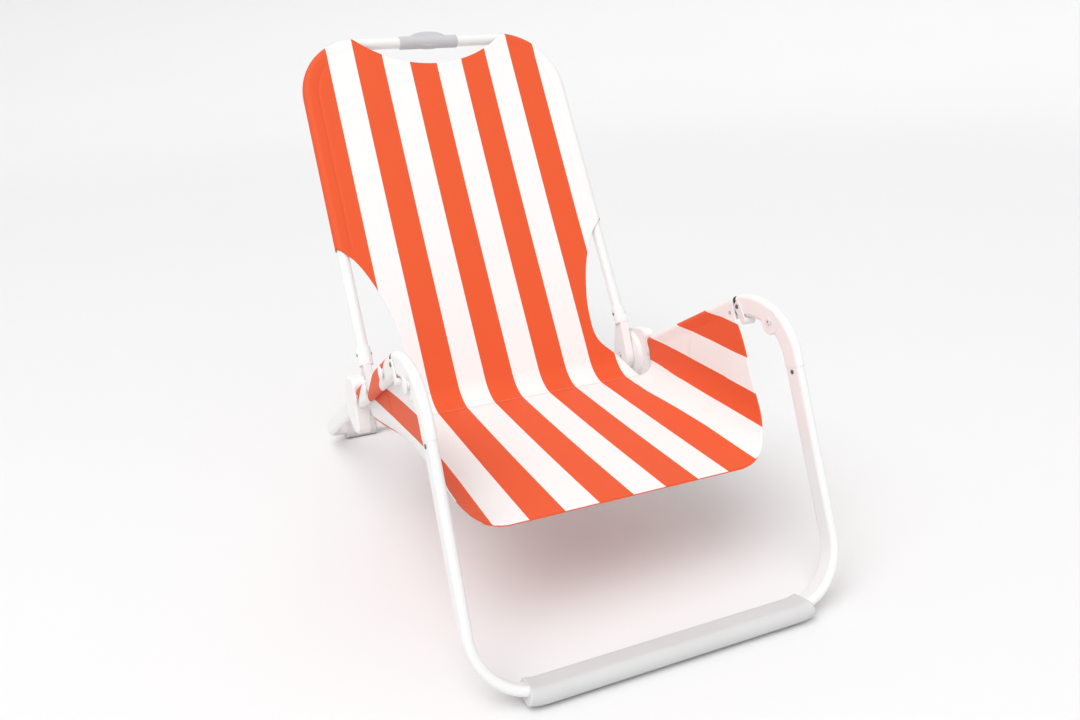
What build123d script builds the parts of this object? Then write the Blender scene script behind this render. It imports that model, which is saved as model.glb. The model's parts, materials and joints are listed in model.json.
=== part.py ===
"""Folding beach chair with a striped sling, built from separate solids, one STEP file for each sub-part.

+Z is up and the chair faces -Y. Everything is symmetrical about X = 0, and the sitter's left is +X.
Side outlines are drawn in (u, v): u runs back along the seat cloth from its front edge, and v is
square above it. side(x) is that drawing board, standing at x.

Three bodies move against the base frame: the front leg folds under the arms about the knuckle pins, the
backrest folds forward about the hub bolts, and a squeeze trigger on each arm releases its leg.
"""
from build123d import *
from math import cos, degrees, radians, sin, tan
import os

os.makedirs("parts", exist_ok=True)

# --- Driving dimensions, mm and degrees ---------------------------------------------------------
HALF_TRACK = 300.0          # middle plane to the centre of an arm rail and of a front leg
SEAT_RISE = 1.1             # the seat cloth climbs this much towards the back
GAP = 0.3                   # running gap between parts that move against each other
FIT = 0.05                  # radial play of a pin in its bore

RAIL_TOP = (176.0, 205.0)   # (u, v) where the straight arm rail turns into the knuckle
RAIL_SLOPE = 28.1           # the arm rail falls this much towards the back
RAIL_TUBE = (34.0, 15.0)    # flat-sided tube of the base frame, tall and thick
RAIL_BEND = 58.0            # centreline radius of its two rear bends
SHOULDER = (135.0, 45.0)    # knuckle arc next to the rail: radius and turn
ELBOW_RADIUS = 89.0         # knuckle arc next to the leg
LEG_HEADING = 247.4         # the front leg points this way, down and forward
LEG_TUBE = (36.0, 15.0)
LEG_LENGTH = 376.5          # from the end of the knuckle to the middle of the foot bar
LEG_BEND = 95.0
TUBE_WALL = 1.5

CASING = (38.0, 16.0)       # plastic knuckle mouldings, tall and thick
KNUCKLE_PIVOT = (73.0, 209.0)
LOBE_RADIUS = 22.0
TONGUE = 7.4                # thickness of the leg casing's tongue between the two cheeks

SOLE = (52.0, 27.0)         # plastic foot sleeves, wide and thick
SOLE_TILT = -10.0           # the front foot's flat faces slope down towards the back by this

HUB_ALONG = 406.0           # hub bolt, measured down the rail from RAIL_TOP
BACK_HEADING = 57.8         # the backrest points this way, up and back
BACK_CORNER_U = 476.0       # u where the seat cloth and the back cloth would meet in a sharp corner
BACK_TUBE_RADIUS = 11.0
BACK_HALF = 271.0           # middle plane to the centre of a backrest tube
BACK_TALL = 781.0           # from the sharp corner to the centre of the top bar
BACK_BEND = 120.0
TUBE_BEHIND = 12.0          # the backrest tube's centreline lies this far behind the cloth

CLOTH = 1.2                 # thickness of the cloth solids
SEAT_BEND = 70.0            # radius in which the seat cloth turns up into the backrest


# --- Frames and small helpers -----------------------------------------------------------------
def turned(point, angle):
    """A (u, v) pair turned about the origin."""
    u, v = point
    a = radians(angle)
    return (u * cos(a) - v * sin(a), u * sin(a) + v * cos(a))


def ahead(point, heading, distance):
    """The (u, v) point that lies a distance along a heading."""
    a = radians(heading)
    return (point[0] + distance * cos(a), point[1] + distance * sin(a))


def half_extent(size, angle):
    """Half the height of a flat-sided section whose wide axis stands at an angle to the horizontal."""
    wide, thick = size
    return (wide - thick) / 2 * abs(sin(radians(angle))) + thick / 2


RAIL_HEADING = -RAIL_SLOPE
HUB = ahead(RAIL_TOP, RAIL_HEADING, HUB_ALONG)
ELBOW_TURN = LEG_HEADING - (180 - RAIL_SLOPE) - SHOULDER[1]

with BuildLine(Plane.XY) as knuckle:
    shoulder = JernArc(
        start=RAIL_TOP, tangent=turned((-1, 0), RAIL_HEADING), radius=SHOULDER[0], arc_size=SHOULDER[1]
    )
    elbow = JernArc(start=shoulder @ 1, tangent=shoulder % 1, radius=ELBOW_RADIUS, arc_size=ELBOW_TURN)
LEG_TOP = tuple(elbow @ 1)[:2]
FOOT = ahead(LEG_TOP, LEG_HEADING, LEG_LENGTH)

# The front sole hangs a little below its tube, and stands on the ground.
SOLE_DROP = 3.0
front_sole = ahead(FOOT, SOLE_TILT - 90, SOLE_DROP)
front_world = turned(front_sole, SEAT_RISE)
LIFT = half_extent(SOLE, SOLE_TILT + SEAT_RISE) - front_world[1]

# The rear bar lies on the rail's line, at the height that puts the rear soles on the ground.
rear_height = half_extent(SOLE, RAIL_HEADING + 90 + SEAT_RISE)
rail_top_world = turned(RAIL_TOP, SEAT_RISE)
RAIL_LENGTH = (rail_top_world[1] + LIFT - rear_height) / sin(radians(RAIL_SLOPE - SEAT_RISE))
REAR_BAR = ahead(RAIL_TOP, RAIL_HEADING, RAIL_LENGTH)
rear_world = turned(REAR_BAR, SEAT_RISE)

front_reach = front_world[0] - half_extent(SOLE, SOLE_TILT + SEAT_RISE + 90)
rear_reach = rear_world[0] + half_extent(SOLE, RAIL_HEADING + SEAT_RISE)
MIDDLE = -(front_reach + rear_reach) / 2


def side(x=0.0):
    """The (u, v) drawing board at x."""
    return Plane(origin=(x, MIDDLE, LIFT), x_dir=(0, *turned((1, 0), SEAT_RISE)), z_dir=(1, 0, 0))


def at(x, point):
    """A (u, v) point at x, in the model's frame."""
    return side(x).from_local_coords((*point, 0))


def aim(heading):
    """A heading on the drawing board, as a direction in the model's frame."""
    return Vector(0, *turned((1, 0), heading + SEAT_RISE))


def rising(point, heading):
    """A plane through X = 0 whose first axis is X and whose second follows a heading."""
    direction = aim(heading)
    return Plane(origin=at(0, point), x_dir=(1, 0, 0), z_dir=Vector(1, 0, 0).cross(direction))


def across(x, point, heading):
    """A plane that faces along a heading, with its first axis square to it in the side view."""
    return Plane(origin=at(x, point), x_dir=aim(heading + 90), z_dir=aim(heading))


def upright(x, point, tilt):
    """A plane that faces along X, with its first axis tilted in the side view."""
    return Plane(origin=at(x, point), x_dir=aim(tilt), z_dir=(1, 0, 0))


def save(piece, name):
    """Label a piece and write it to its own file."""
    piece.label = name
    export_step(piece, f"parts/{name}.step")


def save_pair(piece, name):
    """Write a left-hand piece and its mirror image."""
    save(piece, f"{name}_left")
    save(mirror(piece, about=Plane.YZ), f"{name}_right")


def save_both(piece, name):
    """Write a left-hand piece and its mirror image as the separate solids of one node."""
    save(Compound(children=[*piece.solids(), *mirror(piece, about=Plane.YZ).solids()]), name)


def on_shoulder(distance):
    """The point and the direction of the knuckle's first arc at a distance from the rail."""
    part = distance / shoulder.length
    return tuple(shoulder @ part)[:2], tuple(shoulder % part)[:2]


def shoulder_stretch(start, end):
    """A stretch of the knuckle's first arc on the left side, between two distances from the rail."""
    point, heading = on_shoulder(start)
    turn = degrees((end - start) / SHOULDER[0])
    with BuildLine(side(HALF_TRACK)) as stretch:
        JernArc(start=point, tangent=heading, radius=SHOULDER[0], arc_size=turn)
    return stretch.wire()


# --- Front leg --------------------------------------------------------------------------------
LEG_INSET = 15.0            # the leg tube starts this far below the knuckle's end
leg_plane = rising(LEG_TOP, LEG_HEADING)
leg_cross = LEG_HEADING - 270

with BuildLine(leg_plane) as half_leg:
    foot_run = Line((0, LEG_LENGTH), (HALF_TRACK - LEG_BEND, LEG_LENGTH))
    foot_turn = JernArc(start=foot_run @ 1, tangent=(1, 0), radius=LEG_BEND, arc_size=-90)
    Line(foot_turn @ 1, (HALF_TRACK, LEG_INSET))

with BuildPart() as front_leg_tube:
    with BuildSketch(upright(0, FOOT, leg_cross)):
        SlotOverall(*LEG_TUBE)
        SlotOverall(LEG_TUBE[0] - 2 * TUBE_WALL, LEG_TUBE[1] - 2 * TUBE_WALL, mode=Mode.SUBTRACT)
    sweep(path=half_leg.wire())
    LEG_SCREW = ahead(LEG_TOP, LEG_HEADING, 22.8)
    with BuildSketch(upright(HALF_TRACK - 20, LEG_SCREW, 0)):
        Circle(2.5 + FIT)
    extrude(amount=40, mode=Mode.SUBTRACT)
    mirror(about=Plane.YZ)
save(front_leg_tube.part, "front_leg_tube")

# The sole sleeve follows the tube into the start of both bends.
SOLE_CURL = 16.5
with BuildLine(leg_plane) as half_sole:
    sole_run = Line((0, LEG_LENGTH), (HALF_TRACK - LEG_BEND, LEG_LENGTH))
    JernArc(start=sole_run @ 1, tangent=(1, 0), radius=LEG_BEND, arc_size=-SOLE_CURL)

with BuildPart() as front_foot_sleeve:
    with BuildSketch(upright(0, front_sole, SOLE_TILT)):
        SlotOverall(*SOLE)
    sweep(path=half_sole.wire())
    lip = front_foot_sleeve.faces().sort_by(Axis.X)[-1]
    fillet(lip.edges(), 3)
    with BuildSketch(upright(0, FOOT, leg_cross)):
        SlotOverall(LEG_TUBE[0] + 4 * FIT, LEG_TUBE[1] + 4 * FIT)
    sweep(path=half_leg.wire(), mode=Mode.SUBTRACT)
    mirror(about=Plane.YZ)
save(front_foot_sleeve.part, "front_foot_sleeve")

# --- Knuckle: arm housing on the frame, casing on the leg -------------------------------------------
SEAM = 0.3                  # the stop seam between housing and casing above the pivot
HOUSING_START = 14.5        # distance from RAIL_TOP, forward along the knuckle
TUBE_START = 8.0            # the rail tube ends here, and a black seal fills the space between
PLUG_PLAY = 0.2
knuckle_left = HALF_TRACK - CASING[1] / 2


def knuckle_stretch(start, leg_end):
    """The knuckle's centreline on the left side, from a distance past RAIL_TOP to one down the leg."""
    point, heading = on_shoulder(start)
    turn = SHOULDER[1] - degrees(start / SHOULDER[0])
    with BuildLine(side(HALF_TRACK)) as stretch:
        first = JernArc(start=point, tangent=heading, radius=SHOULDER[0], arc_size=turn)
        second = JernArc(start=first @ 1, tangent=first % 1, radius=ELBOW_RADIUS, arc_size=ELBOW_TURN)
        if leg_end:
            Line(second @ 1, ahead(LEG_TOP, LEG_HEADING, leg_end))
    return stretch.wire()


def ahead_of_seam(clear):
    """Side outline of everything that belongs to the leg: in front of the stop seam and the lobe."""
    u, v = KNUCKLE_PIVOT
    edge = u - LOBE_RADIUS - clear
    with BuildSketch(side(knuckle_left - 5)) as outline:
        with BuildLine():
            Polyline(
                (edge - 200, v + 80), (edge - 8, v + 80), (edge, v), (u, v), (u, v - 150),
                (edge - 200, v - 150), close=True,
            )
        make_face()
        with Locations(KNUCKLE_PIVOT):
            Circle(LOBE_RADIUS + clear, mode=Mode.SUBTRACT)
    return outline.sketch


def disc(x0, x1, centre, radius, mode=Mode.ADD):
    """A disc that faces along X, between two distances from the middle plane."""
    with BuildSketch(side(x0)) as face:
        with Locations(centre):
            Circle(radius)
    extrude(face.sketch, amount=x1 - x0, mode=mode)


def rounded_disc(x0, x1, centre, radius, rounding):
    """A disc that faces along X, with both its rims rounded."""
    with BuildPart() as piece:
        disc(x0, x1, centre, radius)
        fillet(edges().filter_by(GeomType.CIRCLE), rounding)
    return piece.part


KNUCKLE_PIN = 4.0
TONGUE_HEADING = 207.0      # from the pivot towards the leg casing
TRIGGER_PIN = 2.5
TRIGGER_PIVOT = (158.0, 213.0)
tongue_left = HALF_TRACK - TONGUE / 2
knuckle_right = knuckle_left + CASING[1]

with BuildPart() as arm_housing_left:
    first = knuckle_stretch(HOUSING_START, 0)
    rear_face = Plane(origin=first @ 0, x_dir=(1, 0, 0), z_dir=first % 0)
    with BuildSketch(rear_face):
        SlotOverall(*CASING, rotation=90)
    sweep(path=knuckle_stretch(HOUSING_START, 0))
    extrude(ahead_of_seam(0), amount=CASING[1] + 10, mode=Mode.SUBTRACT)
    add(rounded_disc(knuckle_left, knuckle_right, KNUCKLE_PIVOT, LOBE_RADIUS, 2.0))
    disc(tongue_left - GAP, tongue_left + TONGUE + GAP, KNUCKLE_PIVOT, LOBE_RADIUS + 1, Mode.SUBTRACT)
    # The plug fills the front of the rail tube.
    plug = (RAIL_TUBE[0] - 2 * TUBE_WALL - 2 * PLUG_PLAY, RAIL_TUBE[1] - 2 * TUBE_WALL - 2 * PLUG_PLAY)
    with BuildSketch(across(HALF_TRACK, RAIL_TOP, RAIL_HEADING)):
        SlotOverall(*plug)
    extrude(amount=22)
    with BuildSketch(across(HALF_TRACK, RAIL_TOP, RAIL_HEADING)):
        SlotOverall(*plug)
    sweep(path=shoulder_stretch(0, HOUSING_START + 0.5))
    disc(knuckle_left - 1, knuckle_right + 1, KNUCKLE_PIVOT, KNUCKLE_PIN + FIT, Mode.SUBTRACT)
    disc(knuckle_left - 1, knuckle_right + 1, TRIGGER_PIVOT, TRIGGER_PIN + FIT, Mode.SUBTRACT)
save_pair(arm_housing_left.part, "arm_housing")

with BuildPart() as leg_casing_left:
    with BuildSketch(rear_face):
        SlotOverall(*CASING, rotation=90)
    sweep(path=knuckle_stretch(HOUSING_START, LEG_INSET))
    extrude(ahead_of_seam(SEAM + 0.1), amount=CASING[1] + 10, mode=Mode.INTERSECT)
    # The tongue reaches back between the cheeks to the pin.
    with BuildSketch(side(tongue_left)):
        with Locations(KNUCKLE_PIVOT):
            Circle(LOBE_RADIUS - 1)
            Rectangle(LOBE_RADIUS + 4, 26, rotation=TONGUE_HEADING, align=(Align.MIN, Align.CENTER))
    extrude(amount=TONGUE)
    with BuildSketch(across(HALF_TRACK, ahead(LEG_TOP, LEG_HEADING, LEG_INSET), LEG_HEADING)):
        SlotOverall(LEG_TUBE[0] - 2 * TUBE_WALL - 2 * PLUG_PLAY, LEG_TUBE[1] - 2 * TUBE_WALL - 2 * PLUG_PLAY)
    extrude(amount=30)
    disc(knuckle_left - 1, knuckle_right + 1, KNUCKLE_PIVOT, KNUCKLE_PIN + FIT, Mode.SUBTRACT)
    disc(knuckle_left - 1, knuckle_right + 1, LEG_SCREW, 2.5 + FIT, Mode.SUBTRACT)
save_pair(leg_casing_left.part, "leg_casing")

# --- Base frame ---------------------------------------------------------------------------------
HUB_BOLT = 5.0
rail_plane = rising(RAIL_TOP, RAIL_HEADING)

with BuildLine(rail_plane) as half_frame:
    bar_run = Line((0, RAIL_LENGTH), (HALF_TRACK - RAIL_BEND, RAIL_LENGTH))
    bar_turn = JernArc(start=bar_run @ 1, tangent=(1, 0), radius=RAIL_BEND, arc_size=-90)
    Line(bar_turn @ 1, (HALF_TRACK, 0))
frame_path = Wire([*half_frame.wire().edges(), *shoulder_stretch(0, TUBE_START).edges()])

with BuildPart() as base_frame_tube:
    with BuildSketch(upright(0, REAR_BAR, RAIL_HEADING - 90)):
        SlotOverall(*RAIL_TUBE)
        SlotOverall(RAIL_TUBE[0] - 2 * TUBE_WALL, RAIL_TUBE[1] - 2 * TUBE_WALL, mode=Mode.SUBTRACT)
    sweep(path=frame_path)
    disc(HALF_TRACK - 20, HALF_TRACK + 20, HUB, HUB_BOLT + FIT, Mode.SUBTRACT)
    mirror(about=Plane.YZ)
save(base_frame_tube.part, "base_frame_tube")

with BuildPart() as rail_seal_left:
    seal = shoulder_stretch(TUBE_START, HOUSING_START)
    with BuildSketch(Plane(origin=seal @ 0, x_dir=(1, 0, 0), z_dir=seal % 0)):
        SlotOverall(CASING[0] - 1.0, CASING[1] + 0.6, rotation=90)
        SlotOverall(plug[0] + 0.2, plug[1] + 0.2, rotation=90, mode=Mode.SUBTRACT)
    sweep(path=seal)
save_pair(rail_seal_left.part, "rail_seal")

# Two short sleeves carry the rear bar, their wide faces square to the frame.
REAR_SOLE = (190.0, 262.0)  # inner and outer ends, from the middle plane
with BuildPart() as rear_foot_left:
    with BuildLine(rail_plane):
        sole_run = Line((REAR_SOLE[0], RAIL_LENGTH), (HALF_TRACK - RAIL_BEND, RAIL_LENGTH))
        reach = degrees((REAR_SOLE[1] - HALF_TRACK + RAIL_BEND) / RAIL_BEND)
        JernArc(start=sole_run @ 1, tangent=(1, 0), radius=RAIL_BEND, arc_size=-reach)
    with BuildSketch(upright(REAR_SOLE[0], REAR_BAR, RAIL_HEADING - 90)):
        SlotOverall(*SOLE)
    sweep()
    fillet(faces().sort_by(Axis.X)[0].edges() + faces().sort_by(Axis.X)[-1].edges(), 2.5)
    with BuildSketch(upright(0, REAR_BAR, RAIL_HEADING - 90)):
        SlotOverall(RAIL_TUBE[0] + 4 * FIT, RAIL_TUBE[1] + 4 * FIT)
    sweep(path=half_frame.wire(), mode=Mode.SUBTRACT)
save_pair(rear_foot_left.part, "rear_foot")

# --- Hub: inner shell and outer cover clamp the rail between them -----------------------------
SHELL_INNER = 279.5
COVER_OUTER = 312.5
HUB_FACE = 31.0             # radius of the bracket's round end and of the shell's seam with it
SHELL_RIM = 46.0
SHELL_WAIST = 54.0


def hub_outline(x):
    """The rounded block that wraps the rail at the hub."""
    with BuildSketch(side(x)) as outline:
        with BuildLine():
            Polyline((477, 83), (541, 70), (570, 12), (549, -22), (504, -32), (472, -24), close=True)
        make_face()
        fillet(outline.vertices(), 15)
    return outline.sketch


def rail_channel():
    """Cuts the rail's passage through a part at the hub."""
    start = ahead(RAIL_TOP, RAIL_HEADING, HUB_ALONG - 120)
    with BuildSketch(across(HALF_TRACK, start, RAIL_HEADING)) as face:
        SlotOverall(RAIL_TUBE[0] + 4 * FIT, RAIL_TUBE[1] + 4 * FIT)
    extrude(face.sketch, amount=240, mode=Mode.SUBTRACT)


with BuildPart() as hub_shell_left:
    with BuildSketch(Plane(origin=at(0, HUB), x_dir=(1, 0, 0), z_dir=aim(0))):
        with BuildLine():
            Polyline(
                (SHELL_INNER, 0), (SHELL_INNER, HUB_FACE), (SHELL_INNER + 3.5, SHELL_RIM),
                (SHELL_INNER + 11, SHELL_WAIST), (HALF_TRACK, SHELL_WAIST), (HALF_TRACK, 0), close=True,
            )
        make_face()
    revolve(axis=Axis(at(0, HUB), (1, 0, 0)), revolution_arc=360)
    extrude(hub_outline(HALF_TRACK - 11), amount=11)
    rail_channel()
    disc(SHELL_INNER - 1, HALF_TRACK + 1, HUB, HUB_BOLT + FIT, Mode.SUBTRACT)
save_pair(hub_shell_left.part, "hub_shell")

NUT = (6.5, 4.0)            # radius across the flats and thickness
NUT_FACE = 307.9
with BuildPart() as hub_cover_left:
    extrude(hub_outline(HALF_TRACK), amount=COVER_OUTER - HALF_TRACK)
    fillet(faces().sort_by(Axis.X)[-1].edges(), 5)
    rail_channel()
    with BuildSketch(side(HALF_TRACK)):
        with Locations(HUB):
            RegularPolygon(NUT[0] + 0.1, 6, major_radius=False)
    extrude(amount=NUT_FACE + NUT[1] + 0.1 - HALF_TRACK, mode=Mode.SUBTRACT)
save_pair(hub_cover_left.part, "hub_cover")

# --- Backrest -----------------------------------------------------------------------------------
back_corner = (BACK_CORNER_U, 0.0)
back_root = ahead(back_corner, BACK_HEADING - 90, TUBE_BEHIND)
COLLAR_AT = 127.0           # distances up the back from the sharp corner
COLLAR_REACH = 13.5
COLLAR_RADIUS = 13.5
TUBE_FOOT = 106.0
CLOTH_HEM = 335.0           # the cloth sleeve around each tube starts here
BRACKET = (263.0, 279.0)    # inner and outer faces of the bracket plate
collar = ahead(back_root, BACK_HEADING, COLLAR_AT)
back_plane = rising(back_root, BACK_HEADING)


def back_path(start, end_at_middle=True):
    """The backrest tube's centreline on the left side, from a distance up the back to the top bar."""
    with BuildLine(back_plane) as path:
        rise = Line((BACK_HALF, start), (BACK_HALF, BACK_TALL - BACK_BEND))
        turn = JernArc(start=rise @ 1, tangent=(0, 1), radius=BACK_BEND, arc_size=90)
        if end_at_middle:
            Line(turn @ 1, (0, BACK_TALL))
    return path.wire()


def ring(outer, inner, x, point, heading):
    """A round ring-shaped face, square to a heading."""
    with BuildSketch(across(x, point, heading)) as face:
        Circle(outer)
        Circle(inner, mode=Mode.SUBTRACT)
    return face.sketch


with BuildPart() as back_frame_tube:
    foot_of_tube = ahead(back_root, BACK_HEADING, TUBE_FOOT)
    section = ring(BACK_TUBE_RADIUS, BACK_TUBE_RADIUS - TUBE_WALL, BACK_HALF, foot_of_tube, BACK_HEADING)
    sweep(section, path=back_path(TUBE_FOOT))
    disc(BRACKET[0] - 10, BRACKET[1] + 10, collar, 2 + FIT, Mode.SUBTRACT)
    mirror(about=Plane.YZ)
save(back_frame_tube.part, "back_frame_tube")

with BuildPart() as back_bracket_left:
    with BuildSketch(side(BRACKET[0])):
        with Locations(HUB):
            Circle(HUB_FACE)
        with Locations(ahead(collar, BACK_HEADING, -COLLAR_REACH)):
            Circle(COLLAR_RADIUS)
        make_hull()
    extrude(amount=BRACKET[1] - BRACKET[0])
    fillet(faces().sort_by(Axis.X)[0].edges(), 4)
    fillet(faces().sort_by(Axis.X)[-1].edges(), 1)
    with BuildSketch(across(BACK_HALF, ahead(collar, BACK_HEADING, -COLLAR_REACH - 8), BACK_HEADING)):
        Circle(COLLAR_RADIUS)
    extrude(amount=2 * COLLAR_REACH + 8)
    fillet(faces().sort_by(Axis(at(0, HUB), aim(BACK_HEADING)))[-1].edges(), 1)
    with BuildSketch(across(BACK_HALF, foot_of_tube, BACK_HEADING)):
        Circle(BACK_TUBE_RADIUS + FIT)
    extrude(amount=60, mode=Mode.SUBTRACT)
    disc(BRACKET[0] - 10, BRACKET[1] + 10, collar, 2 + FIT, Mode.SUBTRACT)
    disc(BRACKET[0] - 1, BRACKET[1] + 1, HUB, HUB_BOLT + FIT, Mode.SUBTRACT)
    disc(BRACKET[0] - 1, BRACKET[0] + 3, HUB, HUB_BOLT + 3, Mode.SUBTRACT)
save_pair(back_bracket_left.part, "back_bracket")

GRIP_HALF = 63.0
GRIP_RADIUS = 13.2
grip_centre = ahead(back_root, BACK_HEADING, BACK_TALL)
with BuildPart() as hand_grip:
    with BuildSketch(upright(-GRIP_HALF, grip_centre, 0)):
        Circle(GRIP_RADIUS)
    extrude(amount=2 * GRIP_HALF)
    fillet(edges().filter_by(GeomType.CIRCLE), 1.2)
    # A thumb pad stands up from the middle of the grip.
    with BuildSketch(back_plane):
        with Locations((0, BACK_TALL + 4)):
            Ellipse(42, 16.5)
    extrude(amount=8, both=True)
    fillet(faces().sort_by(Axis(at(0, HUB), aim(BACK_HEADING - 90)))[-1].edges(), 1)
    with BuildSketch(upright(-GRIP_HALF - 1, grip_centre, 0)):
        Circle(BACK_TUBE_RADIUS + 2 * FIT)
    extrude(amount=2 * GRIP_HALF + 2, mode=Mode.SUBTRACT)
save(hand_grip.part, "hand_grip")

# --- Pins, screws and studs ---------------------------------------------------------------------
HEAD_GAP = 0.1


def headed_pin(x0, x1, centre, radius, heads):
    """A pin along X with a rounded head at each end: heads holds (radius, thickness) pairs or None."""
    with BuildPart() as piece:
        disc(x0, x1, centre, radius)
        if heads[0]:
            add(rounded_disc(x0 - heads[0][1], x0, centre, heads[0][0], heads[0][1] * 0.45))
        if heads[1]:
            add(rounded_disc(x1, x1 + heads[1][1], centre, heads[1][0], heads[1][1] * 0.45))
    return piece.part


knuckle_pin = headed_pin(
    knuckle_left - HEAD_GAP, knuckle_right, KNUCKLE_PIVOT, KNUCKLE_PIN, [(6.0, 2.6), None]
)
save_both(knuckle_pin, "knuckle_pins")

TRIGGER_PLATE = 2.6
TRIGGER_PLAY = 0.4
trigger_in = knuckle_left - TRIGGER_PLAY - TRIGGER_PLATE
trigger_out = knuckle_right + TRIGGER_PLAY + TRIGGER_PLATE
trigger_pin = headed_pin(
    trigger_in - 0.3, trigger_out + 0.3, TRIGGER_PIVOT, TRIGGER_PIN, [(3.8, 1.0), (3.8, 1.0)]
)
save_both(trigger_pin, "trigger_pins")

leg_tube_in = HALF_TRACK - LEG_TUBE[1] / 2
leg_tube_out = HALF_TRACK + LEG_TUBE[1] / 2
leg_screw = headed_pin(
    leg_tube_in - HEAD_GAP, leg_tube_out + HEAD_GAP, LEG_SCREW, 2.5, [(3.6, 1.0), (3.6, 1.0)]
)
save_both(leg_screw, "leg_screws")

collar_in = BACK_HALF - COLLAR_RADIUS
collar_out = BACK_HALF + COLLAR_RADIUS
collar_screw = headed_pin(collar_in, collar_out, collar, 2.0, [(3.2, 0.8), (3.2, 0.8)])
save_both(collar_screw, "collar_screws")

# The bolt's head sits in the bracket's counterbore, and its nut in the cover's pocket.
bolt_head = (BRACKET[0] + 0.2, BRACKET[0] + 2.9)
hub_bolt = headed_pin(bolt_head[1], NUT_FACE + NUT[1], HUB, HUB_BOLT, [(HUB_BOLT + 2.5, 2.7), None])
save_both(hub_bolt, "hub_bolts")

with BuildPart() as hub_nut:
    with BuildSketch(side(NUT_FACE)):
        with Locations(HUB):
            RegularPolygon(NUT[0], 6, major_radius=False)
            Circle(HUB_BOLT + FIT, mode=Mode.SUBTRACT)
    extrude(amount=NUT[1])
save_both(hub_nut.part, "hub_nuts")

STUD_STEM = 6.5
STUD_HEAD = (11.0, 2.6)
STUDS_ALONG = [56.0, 214.0, 324.0]     # distances down the rail from RAIL_TOP
stud_centres = [ahead(RAIL_TOP, RAIL_HEADING, distance) for distance in STUDS_ALONG]
stud_left = knuckle_right + HEAD_GAP
with BuildPart() as accessory_studs:
    for centre in [KNUCKLE_PIVOT, *stud_centres]:
        add(headed_pin(stud_left, stud_left + 3.9, centre, STUD_STEM, [None, STUD_HEAD]))
save_both(accessory_studs.part, "accessory_studs")

# --- Triggers -----------------------------------------------------------------------------------
with BuildLine(Plane.XY) as blade:
    Spline((140, 191), (129, 181), (114, 172.5), tangents=[(-0.55, -0.83), (-0.93, -0.36)])
with BuildPart() as trigger_left:
    for x in (trigger_in, knuckle_right + TRIGGER_PLAY):
        with BuildSketch(side(x)):
            with Locations(TRIGGER_PIVOT):
                Circle(8.2)
            with Locations((140.5, 192.5)):
                Circle(6.6)
            make_hull()
        extrude(amount=TRIGGER_PLATE)
    # A web under the housing joins the two plates, and carries the finger blade.
    with BuildSketch(side(trigger_in)) as web:
        with Locations((140.5, 192.5)):
            Circle(6.6)
        add(trace(blade.line.edges(), line_width=4.0, mode=Mode.PRIVATE))
    extrude(amount=trigger_out - trigger_in)
    hollow = shoulder_stretch(5, 80)
    with BuildSketch(Plane(origin=hollow @ 0, x_dir=(1, 0, 0), z_dir=hollow % 0)):
        Rectangle(CASING[1] + 2 * TRIGGER_PLAY, CASING[0] + 1.6)
    sweep(path=hollow, mode=Mode.SUBTRACT)
    disc(trigger_in - 1, trigger_out + 1, TRIGGER_PIVOT, TRIGGER_PIN + FIT, Mode.SUBTRACT)
save_pair(trigger_left.part, "trigger")

# --- Seat cloth: a channel slung between the two rails -----------------------------------------
FOLD_LINE = BACK_CORNER_U - SEAT_BEND * tan(radians(BACK_HEADING / 2))   # the bend starts here
SPLIT_TURN = 15.0           # the seat's cloth hands over to the back's this far round the bend
SIDE_TOP = HALF_TRACK - 8.4         # the side walls meet the rail sleeves here
SLEEVE = (-6.5, 327.0)              # ends of the rail sleeve, along the rail
SLEEVE_PLAY = 0.4
# Channel sections from front to back: u, corner radius, and turn of the corner.
SECTIONS = [(-0.6, 75.0, 83.0), (341.0, 75.0, 83.0), (437.0, 22.0, 81.0), (468.0, 22.0, 81.0)]
CORNER_END = FOLD_LINE + 9          # behind this line only the side walls go on


def rail_centre(u):
    """Height of the rail's centreline over the seat cloth."""
    return RAIL_TOP[1] - (u - RAIL_TOP[0]) * tan(radians(RAIL_SLOPE))


def half_channel(u, radius, turn):
    """Half of the channel's section: flat floor, round corner and leaning wall."""
    top = rail_centre(max(u, RAIL_TOP[0])) - 10
    wall = (top - radius * (1 - cos(radians(turn)))) / sin(radians(turn))
    flat = SIDE_TOP - radius * sin(radians(turn)) - wall * cos(radians(turn))
    half = CLOTH / 2
    with BuildSketch(Plane(origin=at(0, (u, 0)), x_dir=(1, 0, 0), z_dir=-aim(0))) as section:
        with BuildLine():
            under = JernArc(start=(flat, -half), tangent=(1, 0), radius=radius + half, arc_size=turn)
            over = JernArc(start=(flat, half), tangent=(1, 0), radius=radius - half, arc_size=turn)
            outside = Line(under @ 1, (under @ 1) + wall * (under % 1))
            inside = Line(over @ 1, (over @ 1) + wall * (over % 1))
            Line(outside @ 1, inside @ 1)
            Line((0, -half), (flat, -half))
            Line((0, half), (flat, half))
            Line((0, -half), (0, half))
        make_face()
    return section.sketch


def bend(start, end):
    """Section of the cloth round part of the bend between seat and back, between two turns."""
    with BuildSketch(side(0)) as strip:
        with BuildLine():
            for radius in (SEAT_BEND - CLOTH / 2, SEAT_BEND + CLOTH / 2):
                CenterArc((FOLD_LINE, SEAT_BEND), radius, start - 90, end - start)
            for turn in (start, end):
                inner, outer = (turned((0, -SEAT_BEND + s * CLOTH / 2), turn) for s in (1, -1))
                Line(*[(FOLD_LINE + p[0], SEAT_BEND + p[1]) for p in (inner, outer)])
        make_face()
    return strip.sketch


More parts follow.
